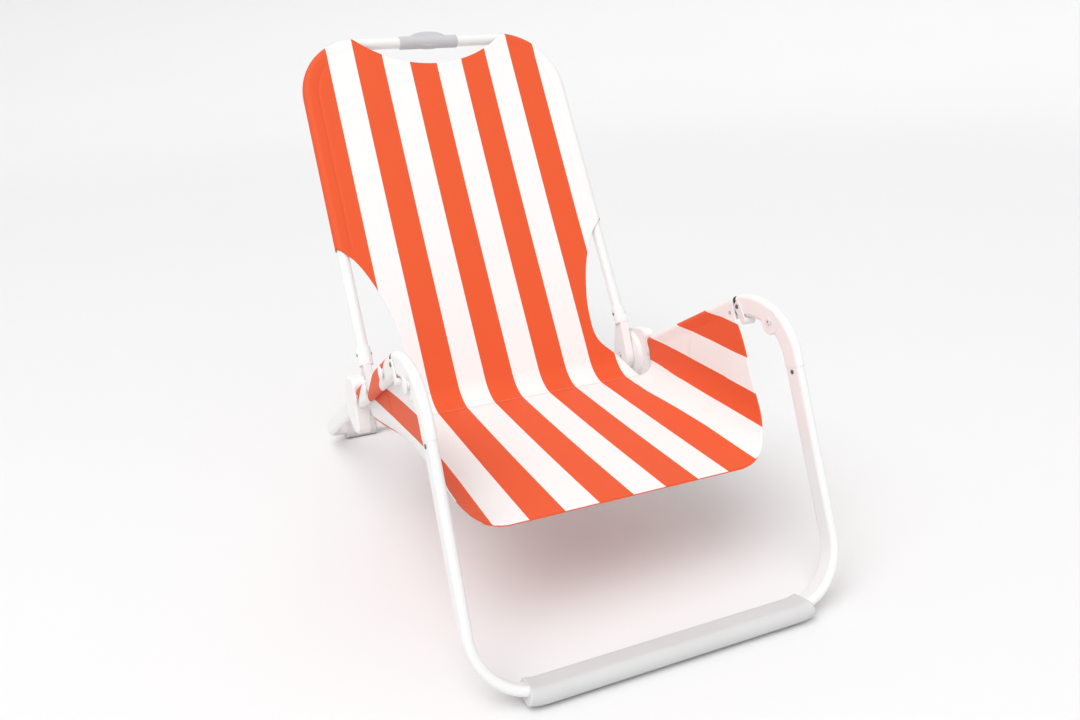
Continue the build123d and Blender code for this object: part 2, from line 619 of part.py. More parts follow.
with BuildPart() as seat_fabric:
    loft([half_channel(*section) for section in SECTIONS], ruled=True)
    # The front edge sweeps up and back from the seat's front to the rail.
    with BuildSketch(side(-1)):
        with BuildLine():
            edge = Spline((0, -2), (46, 37), (93, 75), (125, 131), (150, 177))
            Polyline(edge @ 1, (172, 215), (172, 300), (-100, 300), (-100, -2), (0, -2))
        make_face()
    extrude(amount=HALF_TRACK + 20, mode=Mode.SUBTRACT)
    with BuildSketch(side(-1)):
        with Locations((FOLD_LINE, -5)):
            Rectangle(60, 12, align=Align.MIN)
    extrude(amount=250, mode=Mode.SUBTRACT)
    with BuildSketch(side(-1)):
        with Locations((CORNER_END, -5)):
            Rectangle(60, 29, align=Align.MIN)
    extrude(amount=HALF_TRACK, mode=Mode.SUBTRACT)
    extrude(bend(0, SPLIT_TURN - 0.5), amount=250)
    start = ahead(RAIL_TOP, RAIL_HEADING, SLEEVE[0])
    with BuildSketch(across(HALF_TRACK, start, RAIL_HEADING)):
        grown = 2 * (SLEEVE_PLAY + CLOTH)
        SlotOverall(RAIL_TUBE[0] + grown, RAIL_TUBE[1] + grown)
    extrude(amount=SLEEVE[1] - SLEEVE[0])
    with BuildSketch(across(HALF_TRACK, ahead(start, RAIL_HEADING, -1), RAIL_HEADING)):
        SlotOverall(RAIL_TUBE[0] + 2 * SLEEVE_PLAY, RAIL_TUBE[1] + 2 * SLEEVE_PLAY)
    extrude(amount=SLEEVE[1] - SLEEVE[0] + 2, mode=Mode.SUBTRACT)
    for centre in stud_centres:
        disc(HALF_TRACK, HALF_TRACK + 12, centre, STUD_STEM + 0.5, Mode.SUBTRACT)
    mirror(about=Plane.YZ)
save(seat_fabric.part, "seat_fabric")

RIVET_AT = (180.0, 196.5)
sleeve_face = HALF_TRACK - RAIL_TUBE[1] / 2 - SLEEVE_PLAY - CLOTH
save_both(rounded_disc(sleeve_face - 1.2, sleeve_face - 0.1, RIVET_AT, 3.2, 0.5), "fabric_rivets")

# --- Back cloth ---------------------------------------------------------------------------------
WAIST = [(236, 36), (204, 75), (198, 130), (210, 204), (230, 259), (255, 306), (279, 335)]
SHOULDER_BEND = 131.0
CLOTH_TOP = 792.0
SCOOP = 724.0
back_cloth = rising(back_corner, BACK_HEADING)
BACK_CLOTH = 0.8            # thinner than the sleeves' wall, which it runs into
cloth_edge = BACK_HALF + BACK_TUBE_RADIUS + SLEEVE_PLAY + BACK_CLOTH / 2

with BuildPart() as back_fabric:
    with BuildSketch(back_cloth):
        with BuildLine():
            waist = Spline(*WAIST)
            hem = Line(waist @ 1, (cloth_edge, CLOTH_HEM))
            rise = Line(hem @ 1, (cloth_edge, CLOTH_TOP - SHOULDER_BEND))
            top = JernArc(start=rise @ 1, tangent=(0, 1), radius=SHOULDER_BEND, arc_size=90)
            peak = (cloth_edge - SHOULDER_BEND, CLOTH_TOP)
            scoop = ThreePointArc(peak, (0, SCOOP), (-peak[0], CLOTH_TOP))
            mirror(about=Plane.YZ)
            Line(waist @ 0, (-WAIST[0][0], WAIST[0][1]))
        make_face()
    extrude(amount=BACK_CLOTH / 2, both=True)
    extrude(bend(SPLIT_TURN + 0.5, BACK_HEADING), amount=WAIST[0][0], both=True)
    inner = BACK_TUBE_RADIUS + SLEEVE_PLAY
    hem_at = ahead(back_root, BACK_HEADING, CLOTH_HEM)
    sleeve = ring(inner + CLOTH, inner, BACK_HALF, hem_at, BACK_HEADING)
    sleeves = sweep(sleeve, path=back_path(CLOTH_HEM, False), mode=Mode.PRIVATE)
    add([sleeves, sleeves.mirror(Plane.YZ)])
save(back_fabric.part, "back_fabric")
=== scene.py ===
import json
import math

import bpy
import numpy as np
from mathutils import Matrix, Vector


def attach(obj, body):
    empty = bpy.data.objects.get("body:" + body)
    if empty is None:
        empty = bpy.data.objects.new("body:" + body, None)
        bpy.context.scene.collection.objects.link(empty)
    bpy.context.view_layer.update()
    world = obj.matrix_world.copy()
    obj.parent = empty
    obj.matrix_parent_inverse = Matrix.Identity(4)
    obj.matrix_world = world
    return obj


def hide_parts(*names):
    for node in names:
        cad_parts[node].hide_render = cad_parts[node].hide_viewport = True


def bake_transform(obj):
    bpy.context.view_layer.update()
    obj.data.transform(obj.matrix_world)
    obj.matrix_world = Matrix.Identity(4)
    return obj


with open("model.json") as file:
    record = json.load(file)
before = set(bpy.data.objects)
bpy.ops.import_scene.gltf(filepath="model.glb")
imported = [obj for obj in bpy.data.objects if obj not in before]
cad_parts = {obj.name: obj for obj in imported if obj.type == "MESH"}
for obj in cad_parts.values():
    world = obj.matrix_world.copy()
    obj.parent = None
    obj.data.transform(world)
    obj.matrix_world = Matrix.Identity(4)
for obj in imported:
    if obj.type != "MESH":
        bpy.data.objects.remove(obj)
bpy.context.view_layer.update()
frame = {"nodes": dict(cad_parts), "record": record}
NODES = frame["nodes"]

# --- The side-view board: u runs back along the seat from its front edge, v stands square to it, in mm -----
SEAT_RISE = math.radians(1.1)
FRONT_EDGE = (-0.40104, 0.204278)      # y and z of the front edge, in metres
RAIL_TOP = (176.0, 205.0)
RAIL_SLOPE = math.radians(28.1)
BACK_HEADING = math.radians(57.8)
BACK_CORNER = 476.0
BEND_RADIUS = 70.0
BEND_START = BACK_CORNER - BEND_RADIUS * math.tan(BACK_HEADING / 2)
CREASE = 445.0                          # u of the sewn crease between seat and back
HALF_TRACK = 300.0
TUBE_X = 271.0
TUBE_BEHIND = 12.0
SHEET = 0.0009                          # thickness of the cloth, in metres
SIDE_STRIPE = 229.0                     # x of the last stripe edge before the cloth turns up or round
PITCH = 56.5                            # width of one stripe


def place(x, u, v):
    """A point in metres from x, u and v in millimetres."""
    c, s = math.cos(SEAT_RISE), math.sin(SEAT_RISE)
    return (x / 1000, (u * c - v * s) / 1000 + FRONT_EDGE[0], (u * s + v * c) / 1000 + FRONT_EDGE[1])


def on_back(x, t, n=0.0):
    """A point on the backrest: t up the back from the sharp corner, n in front of the cloth's plane."""
    c, s = math.cos(BACK_HEADING), math.sin(BACK_HEADING)
    return place(x, BACK_CORNER + t * c - n * s, t * s + n * c)


def smooth_path(knots):
    """A smooth curve through (x, y) knots."""
    xs = np.array([k[0] for k in knots], float)
    ys = np.array([k[1] for k in knots], float)
    d = np.diff(ys) / np.diff(xs)
    m = np.concatenate([[d[0]], (d[:-1] + d[1:]) / 2, [d[-1]]])

    def at(x):
        x = min(max(x, xs[0]), xs[-1])
        i = min(int(np.searchsorted(xs, x, side="right")) - 1, len(xs) - 2)
        h = xs[i + 1] - xs[i]
        s = (x - xs[i]) / h
        return float(
            (1 + 2 * s) * (1 - s) ** 2 * ys[i] + s * (1 - s) ** 2 * h * m[i]
            + s * s * (3 - 2 * s) * ys[i + 1] + s * s * (s - 1) * h * m[i + 1]
        )

    return at


def lattice(name, points, uvs, material, thickness=0.0):
    """A smooth mesh from rows of points, with the cloth's flat coordinates as its UV map."""
    rows, cols = len(points), len(points[0])
    faces = [
        (i * cols + j, (i + 1) * cols + j, (i + 1) * cols + j + 1, i * cols + j + 1)
        for i in range(rows - 1) for j in range(cols - 1)
    ]
    mesh = bpy.data.meshes.new(name)
    mesh.from_pydata([p for row in points for p in row], [], faces)
    layer = mesh.uv_layers.new(name="cloth")
    flat = [uv for row in uvs for uv in row]
    for loop in mesh.loops:
        a, b = flat[loop.vertex_index]
        layer.data[loop.index].uv = (a / 1000, b / 1000)
    mesh.polygons.foreach_set("use_smooth", [True] * len(mesh.polygons))
    mesh.materials.append(material)
    obj = bpy.data.objects.new(name, mesh)
    bpy.context.scene.collection.objects.link(obj)
    if thickness:
        wall = obj.modifiers.new("thickness", "SOLIDIFY")
        wall.thickness = thickness
        wall.offset = 0
        bake(obj)
    return obj


def bake(obj):
    """Replaces an object's mesh with the result of its modifiers."""
    graph = bpy.context.evaluated_depsgraph_get()
    done = bpy.data.meshes.new_from_object(obj.evaluated_get(graph))
    obj.modifiers.clear()
    obj.data = done


# --- Materials --------------------------------------------------------------------------------------
class Nodes:
    """A short way to wire up a material's node tree."""

    def __init__(self, name, colour, roughness, metallic=0.0):
        self.material = bpy.data.materials.new(name)
        self.material.use_nodes = True
        self.tree = self.material.node_tree
        self.shader = self.tree.nodes["Principled BSDF"]
        self.shader.inputs["Base Color"].default_value = (*colour, 1)
        self.shader.inputs["Roughness"].default_value = roughness
        self.shader.inputs["Metallic"].default_value = metallic

    def add(self, kind, **settings):
        node = self.tree.nodes.new(kind)
        for key, value in settings.items():
            setattr(node, key, value)
        return node

    def link(self, a, b):
        self.tree.links.new(a, b)

    def math(self, operation, a, b=None):
        node = self.add("ShaderNodeMath", operation=operation)
        for slot, value in zip(node.inputs, (a, b)):
            if value is None:
                continue
            if isinstance(value, (int, float)):
                slot.default_value = value
            else:
                self.link(value, slot)
        return node.outputs[0]

    def noise(self, scale, detail=3.0, vector=None):
        node = self.add("ShaderNodeTexNoise")
        node.inputs["Scale"].default_value = scale
        node.inputs["Detail"].default_value = detail
        if vector is not None:
            self.link(vector, node.inputs["Vector"])
        return node.outputs["Fac"]

    def place(self):
        return self.add("ShaderNodeTexCoord").outputs["Object"]

    def ramp(self, value, low, high, at=(0.0, 1.0)):
        node = self.add("ShaderNodeValToRGB")
        node.color_ramp.elements[0].position = at[0]
        node.color_ramp.elements[1].position = at[1]
        node.color_ramp.elements[0].color = (*low, 1)
        node.color_ramp.elements[1].color = (*high, 1)
        self.link(value, node.inputs["Fac"])
        return node.outputs["Color"]

    def spread(self, value, low, high):
        node = self.add("ShaderNodeMapRange")
        node.inputs["To Min"].default_value = low
        node.inputs["To Max"].default_value = high
        self.link(value, node.inputs["Value"])
        return node.outputs["Result"]

    def bump(self, height, strength, distance):
        node = self.add("ShaderNodeBump")
        node.inputs["Strength"].default_value = strength
        node.inputs["Distance"].default_value = distance
        self.link(height, node.inputs["Height"])
        return node.outputs["Normal"]

    def mix(self, factor, a, b):
        node = self.add("ShaderNodeMix", data_type="RGBA")
        for index, value in ((0, factor), (6, a), (7, b)):
            if isinstance(value, (int, float)):
                node.inputs[index].default_value = value
            elif isinstance(value, tuple):
                node.inputs[index].default_value = (*value, 1)
            else:
                self.link(value, node.inputs[index])
        return node.outputs[2]


def moulded(name, colour, roughness=0.42, grain=2600.0, depth=0.00004, tint=0.03):
    """Moulded plastic: a fine eroded grain, slight colour drift and rubbed patches."""
    n = Nodes(name, colour, roughness)
    where = n.place()
    fine = n.noise(grain, 2.0, where)
    patch = n.noise(9.0, 4.0, where)
    darker = tuple(c * (1 - tint) for c in colour)
    n.link(n.ramp(patch, darker, colour, (0.35, 0.65)), n.shader.inputs["Base Color"])
    n.link(n.spread(patch, roughness - 0.06, roughness + 0.08), n.shader.inputs["Roughness"])
    n.link(n.bump(fine, 0.35, depth), n.shader.inputs["Normal"])
    return n.material


def painted(name, colour, roughness=0.3):
    """Powder-coated tube: faint orange peel under a thin gloss, with small changes of roughness."""
    n = Nodes(name, colour, roughness)
    where = n.place()
    peel = n.noise(420.0, 2.0, where)
    cloud = n.noise(6.0, 4.0, where)
    darker = tuple(c * 0.975 for c in colour)
    n.link(n.ramp(cloud, darker, colour, (0.35, 0.65)), n.shader.inputs["Base Color"])
    n.link(n.spread(cloud, roughness - 0.05, roughness + 0.08), n.shader.inputs["Roughness"])
    n.link(n.bump(peel, 0.22, 0.00005), n.shader.inputs["Normal"])
    n.shader.inputs["Coat Weight"].default_value = 0.25
    n.shader.inputs["Coat Roughness"].default_value = 0.2
    return n.material


def metal(name, colour, roughness):
    """Plated steel with turning marks and dull patches."""
    n = Nodes(name, colour, roughness, 1.0)
    where = n.place()
    marks = n.noise(900.0, 4.0, where)
    cloud = n.noise(60.0, 3.0, where)
    n.link(n.spread(cloud, roughness - 0.08, roughness + 0.15), n.shader.inputs["Roughness"])
    n.link(n.bump(marks, 0.3, 0.00003), n.shader.inputs["Normal"])
    n.link(n.ramp(cloud, tuple(c * 0.8 for c in colour), colour), n.shader.inputs["Base Color"])
    return n.material


ORANGE = (0.79, 0.095, 0.021)
WHITE = (0.89, 0.875, 0.865)
THREAD = 0.0013                         # distance from one yarn to the next
STRIPE_SHIFT = 0.0043                   # the first stripe's edge lies this far from the middle
WHITE_SHARE = 0.492                     # share of a pair of stripes that is white


def woven(name, striped=True, orange=ORANGE):
    """Coated mesh cloth: woven yarns over and under each other, in broad stripes, with painted shade between
    the yarns.
    """
    n = Nodes(name, WHITE, 0.62)
    uv = n.add("ShaderNodeUVMap", uv_map="cloth").outputs["UV"]
    split = n.add("ShaderNodeSeparateXYZ")
    n.link(uv, split.inputs[0])
    across, along = split.outputs[0], split.outputs[1]
    turn = 2 * math.pi / (2 * THREAD)
    a = n.math("SINE", n.math("MULTIPLY", across, turn))
    b = n.math("SINE", n.math("MULTIPLY", along, turn))
    over = n.math("MULTIPLY", a, b)
    ribs = n.math("ADD", n.math("ABSOLUTE", a), n.math("ABSOLUTE", b))
    height = n.math("ADD", n.math("MULTIPLY", over, 0.5), n.math("MULTIPLY", ribs, 0.25))
    cloud = n.noise(7.0, 4.0, uv)
    fibre = n.noise(900.0, 2.0, uv)
    relief = n.math("ADD", n.math("MULTIPLY", height, 0.7), n.math("MULTIPLY", fibre, 0.3))
    # painted shade: the weave's low points darker and its raised yarns lighter, mixed with random fibre tone
    shade = n.spread(relief, 0.90, 1.02)
    if striped:
        phase = n.math("FRACT", n.math("DIVIDE", n.math("SUBTRACT", across, STRIPE_SHIFT), 2 * PITCH / 1000))
        stripe = n.math("GREATER_THAN", phase, WHITE_SHARE)
        colour = n.mix(stripe, WHITE, orange)
    else:
        colour = n.mix(n.math("MULTIPLY", cloud, 0.2), ORANGE, tuple(c * 0.9 for c in ORANGE))
    dim = n.add("ShaderNodeMix", data_type="RGBA", blend_type="MULTIPLY")
    dim.inputs[0].default_value = 1.0
    n.link(colour, dim.inputs[6])
    grey = n.add("ShaderNodeCombineColor")
    # the stripe colour is multiplied by the painted weave shade and a faint random cloud
    weave_shade_and_cloud = n.math("MULTIPLY", shade, n.spread(cloud, 0.97, 1.02))
    for slot in grey.inputs:
        n.link(weave_shade_and_cloud, slot)
    n.link(grey.outputs[0], dim.inputs[7])
    n.link(dim.outputs[2], n.shader.inputs["Base Color"])
    n.link(n.spread(cloud, 0.55, 0.70), n.shader.inputs["Roughness"])
    n.link(n.bump(height, 0.5, 0.00022), n.shader.inputs["Normal"])
    n.shader.inputs["Specular IOR Level"].default_value = 0.28
    n.shader.inputs["Sheen Weight"].default_value = 0.04
    n.shader.inputs["Sheen Roughness"].default_value = 0.5
    return n.material


CLOTH = woven("sling_cloth_stripes")
BINDING = woven("sling_cloth_binding", striped=False)
# painted highlight: the welt's orange stripes are lighter than the cloth's, so the crease line reads bright
WELT_PAINTED_HIGHLIGHT = woven("sling_cloth_welt_painted_highlight", orange=(0.86, 0.20, 0.09))
TUBE = painted("tube_white_coat", (0.83, 0.83, 0.825))
PLASTIC = moulded("plastic_warm_white", (0.87, 0.85, 0.84))
TRIGGER = moulded("plastic_trigger", (0.80, 0.79, 0.785), 0.45)
SOLE = moulded("plastic_sole_grey", (0.62, 0.615, 0.62), 0.5)
GRIP = moulded("plastic_grip_grey", (0.54, 0.54, 0.555), 0.5)
STUD = moulded("plastic_stud", (0.84, 0.83, 0.82), 0.35)
SEAL = moulded("rubber_black", (0.022, 0.022, 0.024), 0.7, 1500.0, 0.00008, 0.3)
DARK = metal("steel_dark", (0.20, 0.20, 0.21), 0.38)
STEEL = metal("steel_bright", (0.66, 0.66, 0.67), 0.3)


def capped(name, colour, roughness, y, z, socket):
    """A light cap with a painted shade disc in the middle of its face for a socket's hollow, for heads that
    face along X.
    """
    n = Nodes(name, colour, roughness)
    split = n.add("ShaderNodeSeparateXYZ")
    n.link(n.place(), split.inputs[0])
    dy = n.math("SUBTRACT", split.outputs[1], y)
    dz = n.math("SUBTRACT", split.outputs[2], z)
    away = n.math("SQRT", n.math("ADD", n.math("MULTIPLY", dy, dy), n.math("MULTIPLY", dz, dz)))
    inside = n.math("LESS_THAN", away, socket)
    rim = n.noise(700.0, 2.0, n.place())
    # painted shade: a near-black disc over the socket's hollow, which the bump presses in
    n.link(n.mix(inside, n.ramp(rim, tuple(c * 0.93 for c in colour), colour), (0.02, 0.02, 0.02)),
           n.shader.inputs["Base Color"])
    n.link(n.bump(n.math("SUBTRACT", 1.0, inside), 0.6, 0.0006), n.shader.inputs["Normal"])
    n.link(n.spread(rim, roughness, roughness + 0.1), n.shader.inputs["Roughness"])
    return n.material


PIN_CAP = capped("pin_cap", (0.74, 0.74, 0.745), 0.35, -0.332067, 0.414641, 0.0016)
BOLT_CAP = capped("bolt_cap", (0.80, 0.79, 0.785), 0.4, 0.132739, 0.228299, 0.0019)
FINISH = {
    "frame_tube": TUBE, "knuckle_plastic": PLASTIC, "trigger_plastic": TRIGGER, "hub_plastic": PLASTIC,
    "sole_plastic": SOLE, "grip_plastic": GRIP, "stud_plastic": STUD, "seal_rubber": SEAL,
    "dark_steel": DARK, "bright_steel": STEEL, "sling_cloth": CLOTH,
}
for entry in frame["record"]["subparts"]:
    node = NODES[entry["node"]]
    node.data.materials.clear()
    node.data.materials.append(FINISH[entry["material_slot"]])
    for polygon in node.data.polygons:
        polygon.material_index = 0
NODES["knuckle_pins"].data.materials[0] = PIN_CAP
NODES["hub_bolts"].data.materials[0] = BOLT_CAP

# --- Seat cloth: floor, two round corners, side walls, and sleeves round the arm rails --------------------
TURN = math.radians(83.0)
SLEEVE_R = 8.8                          # half thickness of the sleeve's loop round a rail
SLEEVE_FLAT = 9.5
SLEEVE_BACK = 327.0
APEX = 52                               # section point at the top of the sleeve
# Heights on the side wall where the stripes change, as they run back: (u, v) knots for each change.
WALL_STRIPES = [
    (285.5, [(0, 40), (150, 41.5), (286, 37), (458, 26), (500, 23)]),
    (342.0, [(0, 84), (178, 84), (312, 78.3), (446, 71), (500, 67)]),
    (398.5, [(0, 138), (112, 137), (224, 133.5), (344, 126), (500, 116)]),
    (455.0, [(0, 184), (152, 182.5), (204, 181), (246, 178), (500, 160)]),
]

front_of = smooth_path([
    (-3, -1), (5.8, 6), (17.5, 16), (27.2, 28), (38.6, 40), (83.5, 76), (137.3, 112), (159.3, 128),
    (181, 148), (190, 158), (224, 178.8), (240, 187),
])
corner_of = smooth_path([(0, 75), (320, 75), (440, 30), (470, 24)])


def rail_v(u):
    """Height of the rail's middle over the seat cloth."""
    return RAIL_TOP[1] - (u - RAIL_TOP[0]) * math.tan(RAIL_SLOPE)


def half_section(u):
    """Half of the seat cloth's section at u: x, v and the distance along the cloth."""
    radius = corner_of(u)
    top = rail_v(max(u, 150.0)) - 10
    wall = (top - radius * (1 - math.cos(TURN))) / math.sin(TURN)
    lean = wall * math.cos(TURN)
    end = HALF_TRACK - SLEEVE_R - 0.2
    flat = end - radius * math.sin(TURN) - lean
    made = [(flat * i / 14, 0.0) for i in range(15)]
    for i in range(1, 13):
        a = TURN * i / 12
        made.append((flat + radius * math.sin(a), radius * (1 - math.cos(a))))
    x0, v0 = made[-1]
    for i in range(1, 17):
        s = i / 16
        bow = 0.0
        if wall > 60:
            bow = -3.2 * math.sin(math.pi * s) * math.sin(math.pi * min(max(u / 440, 0), 1))
        made.append((x0 + (end - x0) * s + bow * 0.6, v0 + (top - v0) * s))
    grow = 1 / math.cos(RAIL_SLOPE)
    centre = rail_v(u) if u > 150 else rail_v(150.0)
    loop = [(HALF_TRACK - SLEEVE_R, centre + z * grow) for z in (-5, 0, 5)]
    for i in range(0, 13):
        a = math.pi - math.pi * i / 12
        loop.append((HALF_TRACK + SLEEVE_R * math.cos(a),
                     centre + (SLEEVE_FLAT + SLEEVE_R * math.sin(a)) * grow))
    loop += [(HALF_TRACK + SLEEVE_R, centre + z * grow) for z in (5, 0, -5)]
    for i in range(0, 12):
        a = -math.pi * i / 12
        loop.append((HALF_TRACK + SLEEVE_R * math.cos(a),
                     centre - (SLEEVE_FLAT - SLEEVE_R * math.sin(a)) * grow))
    loop.append((HALF_TRACK - SLEEVE_R - 0.9, centre - (SLEEVE_FLAT + 3.0) * grow))
    made += loop
    s, out = 0.0, []
    for k, (x, v) in enumerate(made):
        if k:
            s += math.hypot(x - made[k - 1][0], v - made[k - 1][1])
        out.append((x, v, s))
    return out


def back_edge(v):
    """Where the seat cloth ends: at the crease on the floor, further back along the rail sleeve."""
    rail = RAIL_TOP[0] + (SLEEVE_BACK + math.sin(RAIL_SLOPE) * (v - RAIL_TOP[1])) / math.cos(RAIL_SLOPE)
    rise = min(max((v - 2) / 26, 0), 1)
    rise = rise * rise * (3 - 2 * rise)
    return CREASE + (rail - CREASE) * rise


def stripe_knots(u):
    """Pairs of distance along the section and stripe coordinate, at u."""
    section = half_section(u)
    xs = [p[0] for p in section[:27]]
    along = [p[2] for p in section]
    knots = [(0.0, 0.0), (200.0, 200.0), (float(np.interp(228.0, xs, along[:27])), SIDE_STRIPE)]
    rise = [p[1] for p in section[15:APEX]]
    for coordinate, line in WALL_STRIPES:
        v = float(np.interp(u, [k[0] for k in line], [k[1] for k in line]))
        if v < rise[-1] - 1:
            knots.append((float(np.interp(v, rise, along[15:APEX])), coordinate))
    last_s, last_c = knots[-1]
    knots.append((last_s + 200, last_c + 226))
    return knots


SECTIONS_ALONG = 72
STATIONS = 960
LAST_U = 500.0                          # the stored sections run from 0 to this u
section_cache = [half_section(LAST_U * i / STATIONS) for i in range(STATIONS + 1)]
stripe_cache = [stripe_knots(LAST_U * i / STATIONS) for i in range(STATIONS + 1)]


def stripe_at(s, u):
    """Stripe coordinate of a point s along the section at u."""
    knots = stripe_cache[min(max(round(u / LAST_U * STATIONS), 0), STATIONS)]
    return float(np.interp(s, [k[0] for k in knots], [k[1] for k in knots]))


def section_point(k, u):
    """Point k of the section at any u, read between the nearest stored sections."""
    f = min(max(u, 0.0), LAST_U - 0.001) / LAST_U * STATIONS
    i = int(f)
    a, b = section_cache[i][k], section_cache[i + 1][k]
    return tuple(p + (q - p) * (f - i) for p, q in zip(a, b))


def solve_u(k, edge, low, high):
    """The u at which point k of the section meets an edge given as u over v."""
    for _ in range(40):
        middle = (low + high) / 2
        if middle < edge(section_point(k, middle)[1]):
            low = middle
        else:
            high = middle
    return (low + high) / 2


half_count = len(section_cache[0])
seat_rows, seat_uvs, seat_cut = [], [], []
for k in range(half_count):
    near = solve_u(k, front_of, 0.0, 300.0) if section_point(k, 0.0)[1] > 0.02 else 0.0
    far = solve_u(k, back_edge, 380.0, 499.0)
    row, uv, cut = [], [], []
    for j in range(SECTIONS_ALONG + 1):
        u = near + (far - near) * j / SECTIONS_ALONG
        x, v, s = section_point(k, u)
        # The floor sags a little between its ends, and more in the middle.
        sag = 2.2 * math.sin(math.pi * min(max(u / CREASE, 0), 1)) * max(0.0, 1 - (s / 215) ** 2)
        row.append((x, u, v - sag))
        uv.append((stripe_at(s, u), u))
        cut.append((s, u))
    seat_rows.append(row)
    seat_uvs.append(uv)
    seat_cut.append(cut)
points = [[place(-x, u, v) for x, u, v in row] for row in seat_rows[:0:-1]]
points += [[place(x, u, v) for x, u, v in row] for row in seat_rows]
uvs = [[(-a, b) for a, b in row] for row in seat_uvs[:0:-1]] + seat_uvs
seat_cloth = lattice("seat_cloth", points, uvs, CLOTH, SHEET)

# --- Back cloth: the bend, the waisted panel, and sleeves round the tube and its top corners ------------
SEAM_IN = 17.0                          # the sleeve's seam lies this far inside the tube's middle
LOOP = 12.9                             # radius of the loop of cloth round the tube
OVER = 11.2                             # the front panel ends this far outside the tube's middle
CORNER_R = 120.0
CORNER_AT = (TUBE_X - CORNER_R, 781.0 - CORNER_R)     # centre of the tube's top bend
PEAK_X = 169.0
SCOOP_LOW = 724.0
PEAK_T = 792.0
BEND_END = BEND_RADIUS * math.tan(BACK_HEADING / 2)
crease_angle = math.asin((CREASE - BEND_START) / BEND_RADIUS)
bend_length = BEND_RADIUS * (BACK_HEADING - crease_angle)
scoop_radius = (PEAK_X ** 2 + (PEAK_T - SCOOP_LOW) ** 2) / (2 * (PEAK_T - SCOOP_LOW))
half_width = smooth_path([
    (-40, 262), (-18, 258), (8, 252), (36, 236), (75, 204), (130, 198), (204, 210), (264, 230), (311, 255),
    (333, 276), (341, 283), (420, 283), (900, 283),
])


def along_back(x, w, n=0.0):
    """A point w along the cloth from the crease: round the bend first, then up the back."""
    if w >= bend_length:
        return on_back(x, BEND_END + w - bend_length, n)
    a = crease_angle + w / BEND_RADIUS
    r = BEND_RADIUS - n
    return place(x, BEND_START + r * math.sin(a), BEND_RADIUS - r * math.cos(a))


def to_w(t):
    return t - BEND_END + bend_length


def top_of(x):
    """How far up the back the panel reaches at x."""
    x = abs(x)
    if x <= PEAK_X:
        return SCOOP_LOW + scoop_radius - math.sqrt(max(scoop_radius ** 2 - x * x, 0))
    rim = CORNER_R + OVER
    inside = rim ** 2 - (x - CORNER_AT[0]) ** 2
    return CORNER_AT[1] + math.sqrt(max(inside, 0))


def beyond_tube(x, t):
    """Distance outwards from the tube's middle line."""
    if t > CORNER_AT[1]:
        dx, dt = max(abs(x) - CORNER_AT[0], 0), t - CORNER_AT[1]
        return math.hypot(dx, dt) - CORNER_R
    return abs(x) - TUBE_X


def panel_depth(x, t):
    """The panel bellies a little between the tubes, dips at the seam and wraps their fronts."""
    edge = half_width(min(t, 660))
    depth = -4.5 * math.cos(math.pi / 2 * min(abs(x) / edge, 1))
    depth *= math.sin(math.pi * min(max(t / 760, 0), 1))
    d = beyond_tube(x, t)
    held = min(max((t - 322) / 14, 0), 1) if abs(x) > 120 or t < 660 else 0.0
    if t > CORNER_AT[1] and abs(x) < PEAK_X:
        held *= min(max((abs(x) - 120) / 45, 0), 1)
    if d >= -2:
        lift = -TUBE_BEHIND + math.sqrt(max(LOOP ** 2 - d * d, 0))
    else:
        k = min((-2 - d) / 16, 1)
        lift = 0.75 * (1 - k) ** 2 * (1 + 2 * k) - 0.9 * math.exp(-((d + SEAM_IN) / 1.8) ** 2)
    return depth * min(max(-d / 40, 0), 1) + lift * held


def back_stripe(x):
    """Stripe coordinate on the back: the outer stripes are pulled wider round the tubes."""
    side = abs(x)
    return math.copysign(side if side < SIDE_STRIPE else SIDE_STRIPE + (side - SIDE_STRIPE) * 0.80, x)


ACROSS = 96
UP = 190
columns = []
for i in range(-ACROSS, ACROSS + 1):
    f = i / ACROSS
    f = math.copysign(1 - (1 - abs(f)) ** 1.35, f)
    columns.append(f)
points, uvs, back_cut = [], [], []
for f in columns:
    reach = top_of(f * (TUBE_X + OVER))
    w_top = to_w(reach)
    row, uv, cut = [], [], []
    for j in range(UP + 1):
        w = -3.0 + (w_top + 3.0) * j / UP
        t = w - bend_length + BEND_END
        x = f * min(half_width(t), TUBE_X + OVER)
        row.append(along_back(x, w, panel_depth(x, t) - (0.7 if w < 3 else 0.0)))
        uv.append((back_stripe(x), w))
        cut.append((x, w))
    points.append(row)
    uvs.append(uv)
    back_cut.append(cut)
back_cloth = lattice("back_cloth", points, uvs, CLOTH, SHEET)


